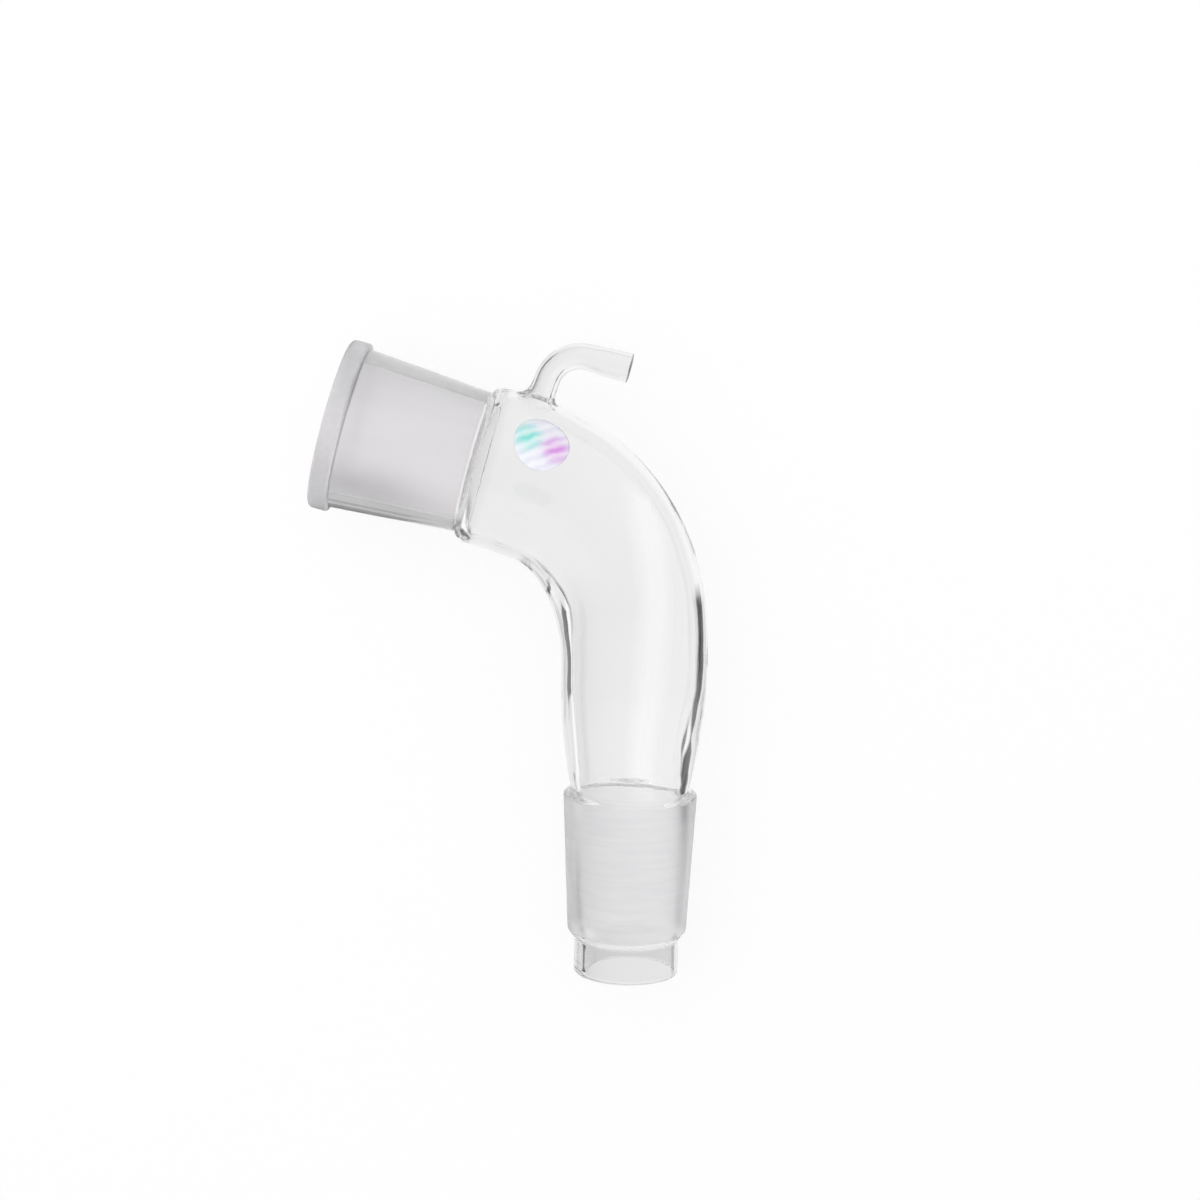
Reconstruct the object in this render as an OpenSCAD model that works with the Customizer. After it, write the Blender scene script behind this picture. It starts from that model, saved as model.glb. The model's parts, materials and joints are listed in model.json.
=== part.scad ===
// Vacuum take-off adapter, bent, with a ground socket, a ground cone, a drip tip and a side arm.
// It is blown and fused as one piece of borosilicate glass, and carries one round foil seal.
// Sizes are in millimetres. The glass is built with its bend flat in the XY plane, the cone's
// axis along Y, and is then tipped onto the three places that it rests on when it lies down.

/* [Ground joints] */
// Large diameter of both ground tapers
joint_d = 29.2; // [27:0.1:31]
// Ground length of both tapers
joint_len = 32; // [28:0.5:36]
// Change of diameter along the taper, in millimetres per millimetre
joint_taper = 0.1; // [0.08:0.005:0.12]

/* [Cone and drip tip] */
// Outer diameter of the drip tip
tip_d = 22.9; // [20:0.1:23.5]
// Length of the drip tip below the cone
tip_len = 8.9; // [6:0.1:14]
// Wall of the drip tip
tip_wall = 1.7; // [1:0.1:2.4]
// Wall of the ground cone
cone_wall = 2.4; // [1.6:0.1:3]
// Bevel from the cone's lower edge to the drip tip
cone_bevel = 1.6; // [0.8:0.1:2.4]

/* [Body] */
// Outer diameter of the neck just above the cone
neck_d = 26.2; // [24:0.1:27]
// Bore through the thick ring of glass at the neck
neck_bore = 21.4; // [18:0.1:22.5]
// Outer diameter of the barrel between the neck and the bend
barrel_d = 31.4; // [29:0.1:34]
// Length from the top of the cone to the start of the bend
barrel_len = 33.6; // [28:0.1:44]
// Outer diameter of the tube in the bend
tube_d = 33.2; // [31:0.1:35]
// Wall of the body
wall = 1.6; // [1:0.1:2.2]
// Radius of the bend, at the middle of the tube
bend_r = 36.8; // [32:0.1:50]
// Angle through which the tube turns
bend_turn = 76.5; // [60:0.5:88]
// Straight tube between the bend and the socket's shoulder
stub_len = 4.5; // [2:0.1:12]
// How far the stub swells beyond the bend's radius, where it meets the shoulder
stub_swell = 0.6; // [0:0.1:1.2]
// Length of the rounded shoulder down to the socket
shoulder_len = 3; // [2:0.1:5]

/* [Socket] */
// Wall of the socket where it joins the shoulder
socket_wall = 2.4; // [1.6:0.1:3.2]
// Wall of the socket just behind the bead
mouth_wall = 2.9; // [2:0.1:3.4]
// Height of the bead over the ground bore at the mouth
bead_wall = 4; // [3.6:0.1:5.5]
// Length of the bead along the socket
bead_len = 4.4; // [3.6:0.1:8]

/* [Side arm] */
// Place of the side arm round the bend, from the start of the bend
arm_at = 73.5; // [60:0.5:76]
// Lean of the side arm towards the cone
arm_lean = 1.5; // [0:0.5:12]
// Outer diameter of the side arm
arm_d = 5.6; // [5:0.1:7]
// Wall of the side arm
arm_wall = 1; // [0.8:0.1:1.3]
// Straight rise of the side arm from the body
arm_rise = 5; // [4.4:0.1:8]
// Radius of the side arm's bend, at the middle of its tube
arm_bend_r = 7.5; // [6:0.1:12]
// Angle through which the side arm turns
arm_turn = 85; // [60:0.5:90]
// Outer diameter of the hose end
hose_d = 6.4; // [6:0.1:8.5]
// Length of the hose end, with its flare
hose_len = 9.2; // [7:0.1:16]
// Length of the flare from the side arm to the hose end
flare_len = 4.4; // [2:0.1:5.5]
// Reach of the weld round the foot of the side arm
weld_reach = 3.2; // [1:0.1:3.4]

/* [Foil seal] */
// Diameter of the round foil seal
seal_d = 12; // [8:0.5:14]
// Thickness of the foil seal
seal_t = 0.12; // [0.1:0.01:0.3]
// Place of the seal round the bend, from the start of the bend
seal_at = 69; // [40:0.5:69]
// Place of the seal round the tube, from the top towards the outside of the bend
seal_turn = 38; // [0:1:45]

/* [Hidden] */
$fn = 96;
glass = [0.90, 0.93, 0.95, 0.45];
foil = [0.72, 0.80, 0.90];

arc_steps = 6;        // straight bands in a small rounding
swell_steps = 14;     // straight bands in the barrel's curve
past = 1;             // how far a cut runs past the face that it opens
edge_round = 0.4;     // fire-polished edges of the drip tip and the hose end
mouth_bevel = 0.5;    // bevel at the mouth of the ground bore
neck_step = 0.6;      // bevel from the cone's upper edge to the neck
neck_len = 4;         // reach of the thick ring of glass, each way from the neck
swell_len = 8;        // last of the barrel, where it widens to the bend
seam_len = 1;         // inner ring of glass where the socket is fused on
fuse_step = 0.02;     // step where a straight tube is fused to the far end of a bend
fuse_sink = 0.3;      // how far that tube runs back into the bend
arm_sink = 6;         // how far the side arm's bore runs below the body's surface

joint_r = joint_d / 2;
joint_low_r = joint_r - joint_taper * joint_len / 2;
tip_r = tip_d / 2;
tip_bore_r = tip_r - tip_wall;
neck_r = neck_d / 2;
neck_bore_r = neck_bore / 2;
barrel_r = barrel_d / 2;
tube_r = tube_d / 2;
bore_r = tube_r - wall;
bead_r = joint_r + bead_wall;
bead_round = 0.8 * (bead_wall - mouth_wall);    // its rounded corners, lower than its back face
seam_r = joint_low_r + socket_wall;
arm_r = arm_d / 2;
arm_bore_r = arm_r - arm_wall;
hose_r = hose_d / 2;
hose_bore_r = hose_r - arm_wall;

// The weld's flare starts where its rim is buried all round, and ends just below the arm's bend
weld_sink = pow(arm_r + weld_reach, 2) / tube_d + 0.2;
weld_rise = arm_rise - 0.3;

// Places along the cone's axis, measured from the drip tip's end
cone_y = tip_len;
neck_y = cone_y + joint_len;
bend_y = neck_y + barrel_len;
swell_y = bend_y - swell_len;

// Places along the socket's axis, measured from the end of the bend
seam_s = stub_len + shoulder_len;
mouth_s = seam_s + joint_len;
bead_s = mouth_s - bead_len;

function arc(centre, r, from, to) =
    [for (i = [0:arc_steps]) let (a = from + (to - from) * i / arc_steps)
        centre + r * [cos(a), sin(a)]];

// The barrel rounds up from the neck, and eases out to the tube of the bend, shrunk by t inside
function barrel_outline(t = 0) = concat(
    [for (i = [1:swell_steps]) let (u = i / swell_steps)
        [barrel_r - (barrel_r - neck_r) * pow(1 - u, 2) - t,
         neck_y + neck_step + u * (swell_y - neck_y - neck_step)]],
    [for (i = [1:arc_steps]) let (u = i / arc_steps)
        [barrel_r + (tube_r - barrel_r) * (3 - 2 * u) * u * u - t, swell_y + u * swell_len]]);

// The stub swells by stub_swell over its length, from the bend's radius r
function stub(r, length) =
    [for (i = [0:arc_steps - 1]) let (u = i / arc_steps)
        [r + stub_swell * (3 - 2 * u) * u * u, u * length]];

// A quarter of an ellipse from (r0, s0), where it runs along the tube, to (r1, s1)
function shoulder(r0, s0, r1, s1) =
    [for (i = [0:arc_steps]) let (a = 90 * i / arc_steps)
        [r1 + (r0 - r1) * cos(a), s0 + (s1 - s0) * sin(a)]];

// Turn a profile of [radius, place] round the cone's axis, which runs along Y
module turned(profile) {
    rotate([-90, 0, 0]) rotate_extrude() polygon(profile);
}

// Work in the socket's own place: its axis along Y, from the end of the bend
module at_socket() {
    translate([-bend_r, bend_y, 0]) rotate([0, 0, bend_turn]) translate([bend_r, 0, 0])
        children();
}

// Work at the foot of the side arm: its axis along Y, from the body's surface
module at_arm() {
    translate([-bend_r, bend_y, 0]) rotate([0, 0, arm_at]) translate([bend_r + tube_r, 0, 0])
        rotate([0, 0, -90 - arm_lean]) children();
}

// Work at the end of the side arm's bend: the hose end's axis along Y
module at_hose_end() {
    at_arm() translate([arm_bend_r, arm_rise, 0]) rotate([0, 0, -arm_turn])
        translate([-arm_bend_r, 0, 0]) children();
}

module bend(r) {
    translate([-bend_r, bend_y, 0]) rotate_extrude(angle = bend_turn)
        translate([bend_r, 0]) circle(r);
}

module arm_bend(r) {
    translate([arm_bend_r, arm_rise, 0]) mirror([1, 0, 0])
        rotate_extrude(angle = arm_turn) translate([arm_bend_r, 0]) circle(r);
}

// Drip tip, ground cone, neck and barrel, as one turned outside
module lower_outside() {
    turned(concat(
        [[0, 0]],
        arc([tip_r - edge_round, edge_round], edge_round, -90, 0),
        [[tip_r, cone_y - cone_bevel / 2],
         [joint_low_r, cone_y + cone_bevel / 2],
         [joint_r - joint_taper * neck_step / 2, neck_y - neck_step],
         [neck_r + neck_step / 2, neck_y],
         [neck_r, neck_y + neck_step]],
        barrel_outline(),
        [[0, bend_y]]));
}

// Bore of the drip tip, cone, neck and barrel, with the thick ring of glass at the neck
module lower_bore() {
    turned(concat(
        [[0, -past], [tip_bore_r, -past], [tip_bore_r, cone_y],
         [joint_low_r - cone_wall, cone_y + 2 * cone_bevel],
         [joint_r - cone_wall - joint_taper * neck_len / 2, neck_y - neck_len],
         [neck_bore_r, neck_y - neck_step],
         [neck_bore_r, neck_y + neck_step]],
        [for (p = barrel_outline(wall)) if (p[1] > neck_y + neck_len) p],
        [[0, bend_y]]));
}

// Stub, shoulder, socket and bead, as one turned outside
module socket_outside() {
    turned(concat(
        [[0, -fuse_sink], [tube_r - fuse_step, -fuse_sink]],
        stub(tube_r - fuse_step, stub_len),
        shoulder(tube_r - fuse_step + stub_swell, stub_len, seam_r, seam_s),
        [[joint_r + mouth_wall, bead_s], [bead_r - bead_round, bead_s]],
        arc([bead_r - bead_round, bead_s + bead_round], bead_round, -90, 0),
        arc([bead_r - bead_round, mouth_s - bead_round], bead_round, 0, 90),
        [[0, mouth_s]]));
}

// Bore of the stub, the fused ring at the seam, and the ground taper out to the mouth
module socket_bore() {
    turned(concat(
        [[0, -fuse_sink], [bore_r - fuse_step, -fuse_sink]],
        stub(bore_r - fuse_step, stub_len - seam_len),
        shoulder(bore_r - fuse_step + stub_swell, stub_len - seam_len,
                 joint_low_r, seam_s - seam_len),
        [[joint_low_r, seam_s],
         [joint_r - joint_taper * mouth_bevel / 2, mouth_s - mouth_bevel],
         [joint_r + mouth_bevel, mouth_s],
         [joint_r + mouth_bevel, mouth_s + past],
         [0, mouth_s + past]]));
}

// The side arm up to its hose end. A weld flares its foot into the body.
module arm_outside() {
    at_arm() {
        turned(concat(
            [[0, -weld_sink]],
            [for (i = [0:arc_steps]) let (u = i / arc_steps)
                [arm_r + weld_reach * pow(1 - u, 2), -weld_sink + u * (weld_sink + weld_rise)]],
            [[arm_r, arm_rise], [0, arm_rise]]));
        arm_bend(arm_r);
    }
}

module arm_bore() {
    at_arm() {
        turned([[0, -arm_sink], [arm_bore_r, -arm_sink], [arm_bore_r, arm_rise], [0, arm_rise]]);
        arm_bend(arm_bore_r);
    }
}

module hose_end_outside() {
    at_hose_end() turned(concat(
        [[0, -fuse_sink], [arm_r - fuse_step, -fuse_sink], [arm_r - fuse_step, 0],
         [hose_r, flare_len]],
        arc([hose_r - edge_round, hose_len - edge_round], edge_round, 0, 90),
        [[0, hose_len]]));
}

module hose_end_bore() {
    at_hose_end() turned([
        [0, -fuse_sink], [arm_bore_r - fuse_step, -fuse_sink], [arm_bore_r - fuse_step, 0],
        [hose_bore_r, flare_len], [hose_bore_r, hose_len + past], [0, hose_len + past]]);
}

// How the glass lies down. It rests on the cone's lower edge, on the start of the bend and on
// the back edge of the bead. up is the floor's upward direction, seen from the flat glass.
function bend_point(a, r) = [-bend_r + r * cos(a), bend_y + r * sin(a), 0];
socket_dir = [-sin(bend_turn), cos(bend_turn), 0];
function on_socket(s) = bend_point(bend_turn, bend_r) + s * socket_dir;

// How far a ring reaches along a direction, its edge rounded by e
function reach(centre, axis, r, dir, e = 0) =
    centre * dir + (r - e) * sqrt(1 - pow(axis * dir, 2)) + e;

along_y = [0, 1, 0];
cone_rest = [0, cone_y + cone_bevel / 2, 0];
bead_back = on_socket(bead_s + bead_round);
bead_front = on_socket(mouth_s - bead_round);
tip_x = max([for (p = barrel_outline()) atan((p[0] - joint_low_r) / (p[1] - cone_rest[1]))]);
// How far the bead's edge would stand over the plane through the other two places
upright = [0, sin(tip_x), cos(tip_x)];
bead_gap = reach(cone_rest, along_y, joint_low_r, -upright)
    - reach(bead_back, socket_dir, bead_r, -upright, bead_round);
tip_y = atan(bead_gap / bead_back[0]);

// Directions of the laid frame, seen from the flat glass
to_right = [cos(tip_y), sin(tip_y) * sin(tip_x), sin(tip_y) * cos(tip_x)];
to_back = [0, cos(tip_x), -sin(tip_x)];
up = [-sin(tip_y), cos(tip_y) * sin(tip_x), cos(tip_y) * cos(tip_x)];

arm_foot = bend_point(arm_at, bend_r + tube_r);
arm_head = arm_at - arm_lean;
arm_centre = arm_foot + arm_rise * [cos(arm_head), sin(arm_head), 0]
    + arm_bend_r * [sin(arm_head), -cos(arm_head), 0];
right_x = reach([0, bend_y, 0], along_y, tube_r, to_right);
left_x = -reach(bead_front, socket_dir, bead_r, -to_right, bead_round);
back_y = max(arm_centre * to_back + arm_bend_r * to_back[1] + arm_r,
             reach(bead_back, socket_dir, bead_r, to_back, bead_round));
front_y = -reach([0, edge_round, 0], along_y, tip_r, -to_back, edge_round);
floor_z = -reach(cone_rest, along_y, joint_low_r, -up);

module laid_down() {
    translate([-(left_x + right_x) / 2, -(front_y + back_y) / 2, -floor_z])
        rotate([tip_x, tip_y, 0]) children();
}

module adapter_glass() {
    color(glass) laid_down() difference() {
        union() {
            lower_outside();
            bend(tube_r);
            at_socket() socket_outside();
            arm_outside();
            hose_end_outside();
        }
        union() {
            lower_bore();
            bend(bore_r);
            at_socket() socket_bore();
            arm_bore();
            hose_end_bore();
        }
    }
}

// A thin disc of foil, curved to the outside of the bend
module foil_seal() {
    color(foil) laid_down() intersection() {
        translate([-bend_r, bend_y, 0]) rotate_extrude(angle = bend_turn)
            translate([bend_r, 0]) difference() {
                circle(tube_r + seal_t);
                circle(tube_r);
            }
        translate([-bend_r, bend_y, 0]) rotate([0, 0, seal_at]) translate([bend_r, 0, 0])
            rotate([0, seal_turn, 0]) cylinder(d = seal_d, h = tube_r + 2 * seal_t);
    }
}

adapter_glass();
foil_seal();
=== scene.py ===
# %% [markdown]
# # A bent take-off adapter of blown laboratory glass
#
# The adapter joins a condenser to a flask: a ground socket takes the condenser, the tube bends
# down to a ground cone with a drip tip, and a thin side arm takes a vacuum hose. It is one piece
# of borosilicate glass, so it lies down as it would come to rest on a bench, and the camera
# looks down on it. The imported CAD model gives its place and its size. This notebook builds the
# glass anew as one closed surface with rounded, fire-polished forms, adds the round seal on the
# bend, and gives both their finish.

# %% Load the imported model
import json
import math

import bpy
import numpy as np
from mathutils import Matrix, Vector


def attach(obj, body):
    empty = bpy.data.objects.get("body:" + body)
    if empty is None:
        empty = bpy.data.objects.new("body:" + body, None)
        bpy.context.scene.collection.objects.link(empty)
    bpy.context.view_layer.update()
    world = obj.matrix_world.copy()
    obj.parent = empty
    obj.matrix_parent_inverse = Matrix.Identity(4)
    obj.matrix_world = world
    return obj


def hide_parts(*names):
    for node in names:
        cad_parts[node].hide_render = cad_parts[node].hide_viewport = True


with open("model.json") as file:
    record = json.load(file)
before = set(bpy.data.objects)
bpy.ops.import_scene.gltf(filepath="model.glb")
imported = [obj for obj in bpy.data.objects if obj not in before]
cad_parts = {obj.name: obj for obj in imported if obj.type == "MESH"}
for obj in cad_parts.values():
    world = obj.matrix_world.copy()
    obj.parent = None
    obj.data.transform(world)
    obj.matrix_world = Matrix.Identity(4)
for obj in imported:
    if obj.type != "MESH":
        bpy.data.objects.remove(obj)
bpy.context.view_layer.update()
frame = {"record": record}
MM = 0.001

# %% [markdown]
# ## The frame of the glass
#
# A glass blower thinks along the tube and not in X, Y and Z. The two ground joints are mounts of
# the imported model, and their axes span the plane of the bend. So the glass gets its own frame:
# "along" runs up the cone, "outward" points to the outside of the bend, and "upward" stands on
# the plane of the bend. Any point is then an outward, an along and an upward distance in
# millimetres from the end of the drip tip.

# %% The glass's own frame, from the two ground joints
TIP_LEN = 8.9       # drip tip, below the cone
JOINT_LEN = 32.0    # each of the two ground joints
BARREL_LEN = 33.6   # straight tube between the neck and the bend
BEND_R = 36.8       # radius of the bend's centre line
STUB_LEN = 4.5      # straight tube after the bend
SHOULDER_LEN = 3.0  # where the tube draws in to the socket


def unit(v):
    """A vector divided by its own length."""
    v = np.asarray(v, float)
    return v / np.linalg.norm(v)


mounts = {m["name"]: m for m in frame["record"]["mounts"]}
along = -unit(mounts["cone_taper"]["axis"])
socket_axis = unit(mounts["socket_taper"]["axis"])
upward = unit(np.cross(along, socket_axis))
outward = np.cross(along, upward)
cone_top = np.array(mounts["cone_taper"]["pos_m"]) / MM
tip_end = cone_top - (TIP_LEN + JOINT_LEN) * along
BEND_TURN = math.acos(float(along @ socket_axis))


def laid(points):
    """A point of the glass's frame in the row frame: the tip's end, plus each of its three
    distances along that distance's own direction."""
    points = np.asarray(points, float)
    return tip_end + points @ np.array([outward, along, upward])


print("bend turns", round(math.degrees(BEND_TURN), 2), "degrees")

# %% [markdown]
# ## The centre line
#
# The tube's centre line is straight up the cone and the barrel, then an arc, then straight
# again through the socket. Measuring the length s along it turns the bent tube into a plain
# lathe shape: each point is a place s, a radius and an angle round the tube.

# %% Places along the centre line
CONE_S = TIP_LEN
NECK_S = CONE_S + JOINT_LEN
BEND_S = NECK_S + BARREL_LEN
STUB_S = BEND_S + BEND_R * BEND_TURN
SHOULDER_S = STUB_S + STUB_LEN
SEAM_S = SHOULDER_S + SHOULDER_LEN
MOUTH_S = SEAM_S + JOINT_LEN


def centre_line(s):
    """The centre line's point and its outward direction at s. The angle turned is the part of s
    inside the bend over the bend's radius. What is left of s is a straight run along the
    tangent, behind the arc when it is negative."""
    turn = np.clip((s - BEND_S) / BEND_R, 0, BEND_TURN)
    run = s - BEND_S - turn * BEND_R
    side = np.stack([np.cos(turn), np.sin(turn)], -1)
    tangent = np.stack([-np.sin(turn), np.cos(turn)], -1)
    point = BEND_R * side + run[..., None] * tangent + np.array([-BEND_R, BEND_S])
    return point, side


def on_tube(s, radius, angle, shift=0.0):
    """The point at s, at a radius from the centre line and an angle round it from the outward
    side: the outward distance is radius times cosine, plus a shift of the whole ring, and the
    upward distance is radius times sine."""
    s, radius, angle, shift = np.broadcast_arrays(s, radius, angle, shift)
    point, side = centre_line(s)
    flat = point + (radius * np.cos(angle) + shift)[..., None] * side
    return np.concatenate([flat, (radius * np.sin(angle))[..., None]], -1)


def place_on_tube(points):
    """The inverse: s, the outward and the upward distance of points in the glass's frame. In the
    bend s comes from the angle about the bend's centre, and past it from the tangent's run."""
    x, y, z = points[..., 0] + BEND_R, points[..., 1] - BEND_S, points[..., 2]
    turn = np.clip(np.arctan2(y, x), 0, BEND_TURN)
    run = -x * np.sin(turn) + y * np.cos(turn)
    out = x * np.cos(turn) + y * np.sin(turn) - BEND_R
    return BEND_S + turn * BEND_R + run, out, z


mouth, _ = centre_line(np.array(MOUTH_S))
mouth_gap = laid([*mouth, 0]) - np.array(mounts["socket_taper"]["pos_m"]) / MM
print("centre line is", round(MOUTH_S, 2), "mm long; it misses the mouth by",
      round(float(np.linalg.norm(mouth_gap)), 3), "mm")

# %% [markdown]
# ## The outside, as a profile
#
# The cone and the drip tip are turned to size, so their outline is straight lines with small
# rounded corners. The barrel and the bend are blown and bent by hand: the tube swells out of the
# neck, keeps swelling a little towards the socket, and wanders by a few tenths of a millimetre.
# A few knots give that outline, and averaging it over 2 mm rounds them, as heat does. The wall
# has knots of its own: it is 1.7 mm near the socket, thicker down the bend and the barrel, and
# thickest just above the neck. Bending thins it on the outside of the bend and gathers it on
# the inside, so the bore lies a little outward of the outside's centre there.

# %% Rounded corners and runs for profiles
STEP = 0.8          # usual distance between two rings, in millimetres
CORNER_STEPS = 4    # rings round a small corner


def run_to(start, end, step=STEP):
    """Points from start to end on a straight line, start left out, about one step apart."""
    start, end = np.array(start, float), np.array(end, float)
    count = max(1, round(float(np.linalg.norm(end - start)) / step))
    return start + (end - start) * (np.arange(1, count + 1) / count)[:, None]


def rounded(corners, steps=CORNER_STEPS, step=STEP):
    """An outline through corners of (s, radius, rounding). Each corner is cut back by its
    rounding on both sides, and a quadratic curve with the corner as its middle point joins the
    two cuts. Straight runs between the cuts are filled with points."""
    xy = np.array([c[:2] for c in corners], float)
    cut = [c[2] for c in corners]
    outline = [xy[:1]]
    for i in range(1, len(xy)):
        here, back = xy[i], unit(xy[i - 1] - xy[i])
        outline.append(run_to(outline[-1][-1], here + cut[i] * back, step))
        if cut[i] > 0:
            ahead = here + cut[i] * unit(xy[i + 1] - here)
            u = (np.arange(1, steps + 1) / steps)[:, None]
            first = outline[-1][-1]
            outline.append((1 - u) ** 2 * first + 2 * u * (1 - u) * here + u**2 * ahead)
    return np.concatenate(outline)


print("rings on 8 mm of straight tube:", len(run_to((0, 0), (8, 0))))

# %% The blown outline of barrel and bend: knots of (s, value), all in millimetres
BODY_KNOTS = np.array([     # outer radius
    [NECK_S + 0.6, 13.1], [46, 13.95], [52, 14.75], [58, 15.4], [64, 15.85], [70, 15.85],
    [76, 16.0], [84, 16.4], [96, 16.7], [111, 16.75], [118, 17.2], [126, 17.3],
    [SHOULDER_S, 17.15]])
WANDER_KNOTS = np.array([   # how far the whole tube lies outward of the true arc
    [NECK_S, 0], [56, 0], [65, 0.2], [70, 0.2], [78, -0.35], [86, -0.35], [94, -0.1],
    [103, 0.25], [108, 0.25], [115, -0.2], [124, 0], [SHOULDER_S, 0]])
WALL = 1.7                  # wall where the arm and the socket join the bend
WALL_KNOTS = np.array([     # wall everywhere in the blown body
    [NECK_S, 2.3], [44, 2.6], [46.5, 2.75], [49, 2.8], [52, 2.8], [58, 2.5], [64, 2.2], [74, 2.2],
    [80, 2.4], [86, 2.5], [92, 2.25], [100, 1.9], [110, WALL], [SHOULDER_S, WALL]])
BORE_KNOTS = np.array([     # how far the bore lies outward of the outside's centre
    [NECK_S, 0], [46, -0.1], [52, -0.2], [60, 0.05], [70, 0.12], [74, 0.18], [80, 0.4],
    [86, 0.62], [92, 0.6], [100, 0.3], [110, 0.05], [120, 0], [SHOULDER_S, 0]])


def averaged(knots, s, width=2.0):
    """The knots' straight-line curve at s, averaged over a bell of the given width. Beyond its
    ends the curve goes on along its last slope, so that the ends stay where they are."""
    offsets = np.linspace(-2 * width, 2 * width, 33)
    weights = np.exp(-((offsets / width) ** 2))
    at = np.asarray(s, float)[..., None] + offsets
    x, y = knots.T
    value = np.interp(at, x, y)
    value += np.minimum(at - x[0], 0) * (y[1] - y[0]) / (x[1] - x[0])
    value += np.maximum(at - x[-1], 0) * (y[-1] - y[-2]) / (x[-1] - x[-2])
    return value @ weights / weights.sum()


def body_radius(s):
    """Outer radius of the blown body at s."""
    return averaged(BODY_KNOTS, s)


def wall(s):
    """Thickness of the blown wall at s."""
    return averaged(WALL_KNOTS, s)


def wander(s):
    """How far the tube's real centre lies outward of the true arc at s."""
    return averaged(WANDER_KNOTS, s)


print("body radius at the bend's start and end:",
      np.round(body_radius(np.array([BEND_S, STUB_S])), 2).tolist())

# %% [markdown]
# ## From the tip to the mouth
#
# The whole outside is one outline. The cone and the socket are standard joints of 29.2 mm at the
# wide end and 32 mm long, with a taper of one in ten, and only they are made to a gauge. Below
# the cone stands the drip tip, and above it the neck, where the tube was fused on. At the other
# end the tube draws in over a round shoulder to the socket, and a thick bead guards the mouth.

# %% The whole outer outline, from the drip tip's end to the mouth
TIP_R = 11.45
JOINT_R = 14.6      # wide end of a ground joint
JOINT_LOW_R = 13.0  # and its narrow end
NECK_R = 13.1
SEAM_R = 15.4       # outside of the socket's narrow end
MOUTH_R = 17.5      # and of its wide end, under the bead
BEAD_R = 18.6
BEAD_LEN = 4.4
BEAD_S = MOUTH_S - BEAD_LEN


def shoulder(s0, r0, s1, r1, steps=8):
    """A quarter of an ellipse: it leaves (s0, r0) along the tube and meets (s1, r1) square to
    it, so s grows with the sine and the radius falls with the cosine."""
    a = np.linspace(0, math.pi / 2, steps + 1)[1:]
    return np.stack([s0 + (s1 - s0) * np.sin(a), r1 + (r0 - r1) * np.cos(a)], -1)


def outer_outline():
    """Points of (s, radius) along the outside: tip, cone, neck, blown body, shoulder, socket
    and bead, in that order."""
    turned = rounded([
        (0, TIP_R - 0.75, 0), (0, TIP_R, 0.7), (CONE_S - 1.0, TIP_R, 0.5),
        (CONE_S + 0.8, JOINT_LOW_R, 0.7), (NECK_S - 0.6, JOINT_R - 0.03, 0.45),
        (NECK_S + 0.1, NECK_R + 0.2, 0.35), (NECK_S + 0.6, NECK_R, 0)])
    s = np.arange(NECK_S + 1.2, SHOULDER_S - STEP / 2, STEP)
    body = np.stack([s, body_radius(s)], -1)
    start_r = float(body_radius(np.array(SHOULDER_S)))
    fused = np.concatenate([
        [[SHOULDER_S, start_r]], shoulder(SHOULDER_S, start_r, SEAM_S, SEAM_R)])
    socket = rounded([
        (SEAM_S, SEAM_R, 0), (BEAD_S, MOUTH_R, 0.25), (BEAD_S + 0.1, BEAD_R, 0.55),
        (MOUTH_S, BEAD_R, 1.3), (MOUTH_S, JOINT_R + 1.3, 0)])
    return np.concatenate([turned, body, fused, socket[1:]])


outer = outer_outline()
print(len(outer), "outer rings")

# %% [markdown]
# ## The bore
#
# The bore follows the body's radius less the wall, moved outward a little in the bend. At the
# neck a thick ring is left where the tube was fused to the cone, and the socket ends in another
# ring. Both show as bright and dark hoops, so they are real steps in the bore.

# %% The bore, from the mouth back to the drip tip
NECK_BORE_R = 10.9
CONE_WALL = 2.4     # at the cone's low end
TIP_WALL = 1.7
NECK_REACH = 4.0    # the neck's thick ring reaches this far to both sides
SEAM_REACH = 0.9    # the bore draws in this much before the outside does


def inner_outline():
    """Points of (s, radius) along the inside: the ground taper, the ring at the seam, the body's
    radius less its wall, the thick ring at the neck, the cone's bore and the tip's bore."""
    taper = rounded([
        (MOUTH_S, JOINT_R + 0.6, 0), (MOUTH_S - 0.6, JOINT_R - 0.03, 0.3),
        (SEAM_S, JOINT_LOW_R, 0.3), (SEAM_S - SEAM_REACH, JOINT_LOW_R, 0)])
    end_s = SHOULDER_S - SEAM_REACH
    end_r = float(body_radius(np.array(end_s)) - wall(np.array(end_s)))
    fused = shoulder(end_s, end_r, SEAM_S - SEAM_REACH, JOINT_LOW_R)[::-1][1:]
    s = np.arange(end_s, NECK_S + NECK_REACH, -STEP)
    body = np.stack([s, body_radius(s) - wall(s)], -1)
    low = rounded([
        (NECK_S + NECK_REACH - 0.8, body[-1, 1], 0), (NECK_S + 1.2, NECK_BORE_R, 1.1),
        (NECK_S - NECK_REACH, NECK_BORE_R + 0.2, 1.2),
        (CONE_S + 3.2, JOINT_LOW_R - CONE_WALL + 0.1, 1.5), (CONE_S, TIP_R - TIP_WALL, 0.8),
        (0, TIP_R - TIP_WALL, 0.6), (0, TIP_R - TIP_WALL + 0.62, 0)])
    return np.concatenate([taper, fused, body, low])


inner = inner_outline()
print(len(inner), "inner rings")

# %% [markdown]
# ## The glass as one grid
#
# Each ring of the two outlines is swept round the tube, outside first and then back through the
# bore, so the whole body is one closed grid of rings and angles. A rectangle is left open in
# both walls, where the side arm is welded on.

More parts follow.
